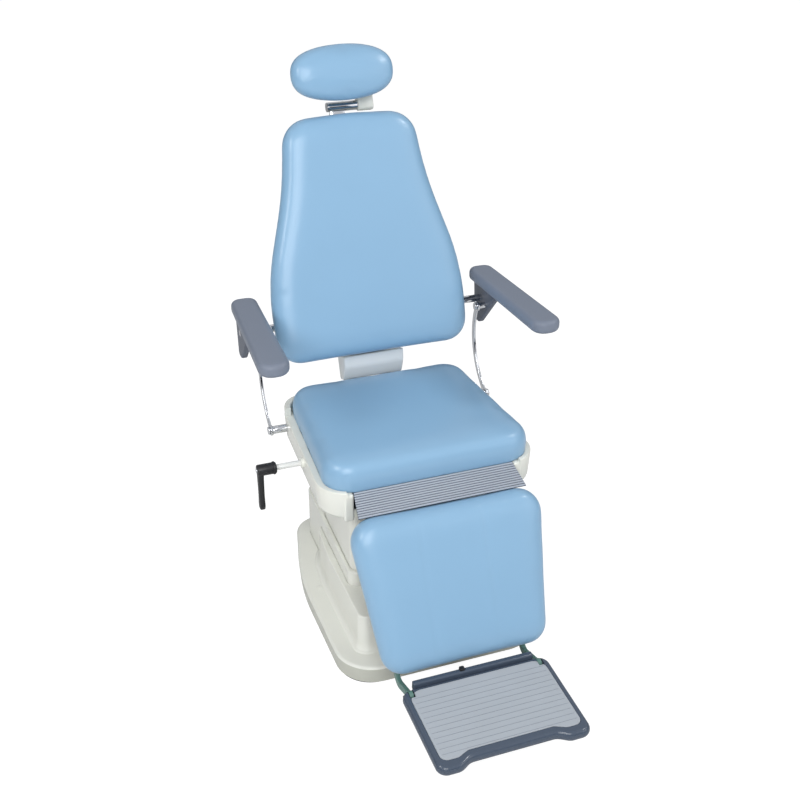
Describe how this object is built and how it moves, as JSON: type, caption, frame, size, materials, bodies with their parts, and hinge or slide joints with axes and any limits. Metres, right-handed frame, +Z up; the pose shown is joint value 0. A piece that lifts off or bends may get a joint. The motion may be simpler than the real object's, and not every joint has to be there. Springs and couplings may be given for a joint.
{
  "type": "ear nose and throat chair",
  "caption": "Powered examination chair: padded seat, reclining back with level armrests, sliding headrest, raising legrest with folding footrest, swivel column on a moulded base.",
  "frame": {"origin": "on the floor under the swivel axis, at the underside of the base plate", "axes": "+Z up, the chair faces -Y, +X to the right of a viewer in front of it"},
  "size_m": [0.7274, 1.1975, 1.31],
  "materials": {
    "upholstery": "satin vinyl",
    "cream_plastic": "semi gloss",
    "armrest_grey": "fine grain",
    "footrest_slate": "satin",
    "mat_grey": "ribbed",
    "bellows_grey": "pleated",
    "bracket_green": "satin",
    "black_plastic": "satin",
    "chrome": "polished",
    "white_paint": "gloss",
    "bright_steel": "ground",
    "cast_aluminium": "as cast",
    "frame_paint": "powder coat",
    "plywood": "sanded"
  },
  "bodies": {
    "base": {"base_plate": "frame_paint", "base_cover": "cream_plastic", "column_outer_tube": "frame_paint", "column_guide_pads": "black_plastic", "lift_actuator_tube": "cast_aluminium", "lift_motor": "cast_aluminium", "control_box": "black_plastic", "mains_inlet": "black_plastic"},
    "mid_cover": {"middle_cover": "cream_plastic"},
    "lift": {"column_inner_tube": "frame_paint", "lift_rod": "bright_steel", "upper_cover": "cream_plastic", "turntable_lower_plate": "frame_paint", "swivel_brake_disc": "bright_steel"},
    "seat": {"seat_turntable": "frame_paint", "seat_pan": "cream_plastic", "seat_rails": "frame_paint", "seat_cross_bars": "frame_paint", "seat_board": "plywood", "seat_cushion": "upholstery", "knee_bellows": "bellows_grey", "back_hinge_brackets": "frame_paint", "back_drive": "cast_aluminium", "legrest_hinge_brackets": "frame_paint", "legrest_drive": "cast_aluminium", "lock_rod_bearings": "bright_steel", "brake_shoe": "bright_steel", "link_studs": "chrome"},
    "lock": {"lock_rod": "white_paint", "lock_lever": "black_plastic"},
    "backrest": {"back_hinge_shaft": "bright_steel", "back_spine": "frame_paint", "spine_cover": "cream_plastic", "back_board": "plywood", "back_shell": "cream_plastic", "back_cushion": "upholstery", "armrest_shaft": "chrome", "headrest_socket": "cast_aluminium"},
    "armrest_left": {"armrest_pad_left": "armrest_grey", "armrest_bracket_left": "armrest_grey"},
    "armrest_right": {"armrest_pad_right": "armrest_grey", "armrest_bracket_right": "armrest_grey"},
    "link_left": {"armrest_link_left": "chrome"},
    "link_right": {"armrest_link_right": "chrome"},
    "headrest_carrier": {"headrest_post": "chrome"},
    "headrest": {"headrest_arm": "cream_plastic", "headrest_hinge_pin": "chrome", "headrest_shell": "cream_plastic", "headrest_cushion": "upholstery"},
    "legrest": {"legrest_hinge_shaft": "bright_steel", "legrest_frame": "frame_paint", "legrest_board": "plywood", "legrest_cushion": "upholstery", "footrest_brackets": "bracket_green"},
    "footrest": {"footrest_frame": "footrest_slate", "footrest_mat": "mat_grey", "footrest_pivot_bolts": "bright_steel", "footrest_stop": "black_plastic"}
  },
  "joints": [
    {"name": "seat_lift", "type": "slide", "parent": "base", "child": "lift", "axis": [0, 0, 1], "range_m": [0, 0.2]},
    {"name": "mid_cover_slide", "type": "slide", "parent": "base", "child": "mid_cover", "axis": [0, 0, 1], "range_m": [0, 0.1]},
    {"name": "seat_swivel", "type": "hinge", "parent": "lift", "child": "seat", "pos_m": [0, 0, 0], "axis": [0, 0, 1], "range_deg": [-170, 170]},
    {"name": "lock_turn", "type": "hinge", "parent": "seat", "child": "lock", "pos_m": [0, -0.045, 0.458], "axis": [1, 0, 0], "range_deg": [0, 90]},
    {"name": "back_recline", "type": "hinge", "parent": "seat", "child": "backrest", "pos_m": [0, 0.18, 0.455], "axis": [-1, 0, 0], "range_deg": [-10, 60]},
    {"name": "headrest_tilt", "type": "hinge", "parent": "headrest_carrier", "child": "headrest", "pos_m": [0, 0.43225, 1.16121], "axis": [-1, 0, 0], "range_deg": [-10, 40]},
    {"name": "headrest_slide", "type": "slide", "parent": "backrest", "child": "headrest_carrier", "axis": [0, 0.342, 0.9397], "range_m": [0, 0.09]},
    {"name": "legrest_raise", "type": "hinge", "parent": "seat", "child": "legrest", "pos_m": [0, -0.241, 0.415], "axis": [-1, 0, 0], "range_deg": [0, 60], "deforming": ["knee_bellows"]},
    {"name": "footrest_fold", "type": "hinge", "parent": "legrest", "child": "footrest", "pos_m": [0, -0.49797, 0.08998], "axis": [-1, 0, 0], "range_deg": [0, 90]},
    {"name": "armrest_level_left", "type": "hinge", "parent": "backrest", "child": "armrest_left", "pos_m": [-0.313, 0.25204, 0.67397], "axis": [-1, 0, 0], "range_deg": [-60, 10]},
    {"name": "link_swing_left", "type": "hinge", "parent": "armrest_left", "child": "link_left", "pos_m": [-0.287, 0.21104, 0.66997], "axis": [-1, 0, 0], "range_deg": [-10, 60]},
    {"name": "armrest_level_right", "type": "hinge", "parent": "backrest", "child": "armrest_right", "pos_m": [0.313, 0.25204, 0.67397], "axis": [-1, 0, 0], "range_deg": [-60, 10]},
    {"name": "link_swing_right", "type": "hinge", "parent": "armrest_right", "child": "link_right", "pos_m": [0.287, 0.21104, 0.66997], "axis": [-1, 0, 0], "range_deg": [-10, 60]}
  ],
  "couplings": [
    {"joint": "mid_cover_slide", "follows": "seat_lift", "ratio": 0.5},
    {"joint": "armrest_level_left", "follows": "back_recline", "ratio": -1},
    {"joint": "link_swing_left", "follows": "back_recline", "ratio": 1},
    {"joint": "armrest_level_right", "follows": "back_recline", "ratio": -1},
    {"joint": "link_swing_right", "follows": "back_recline", "ratio": 1}
  ]
}
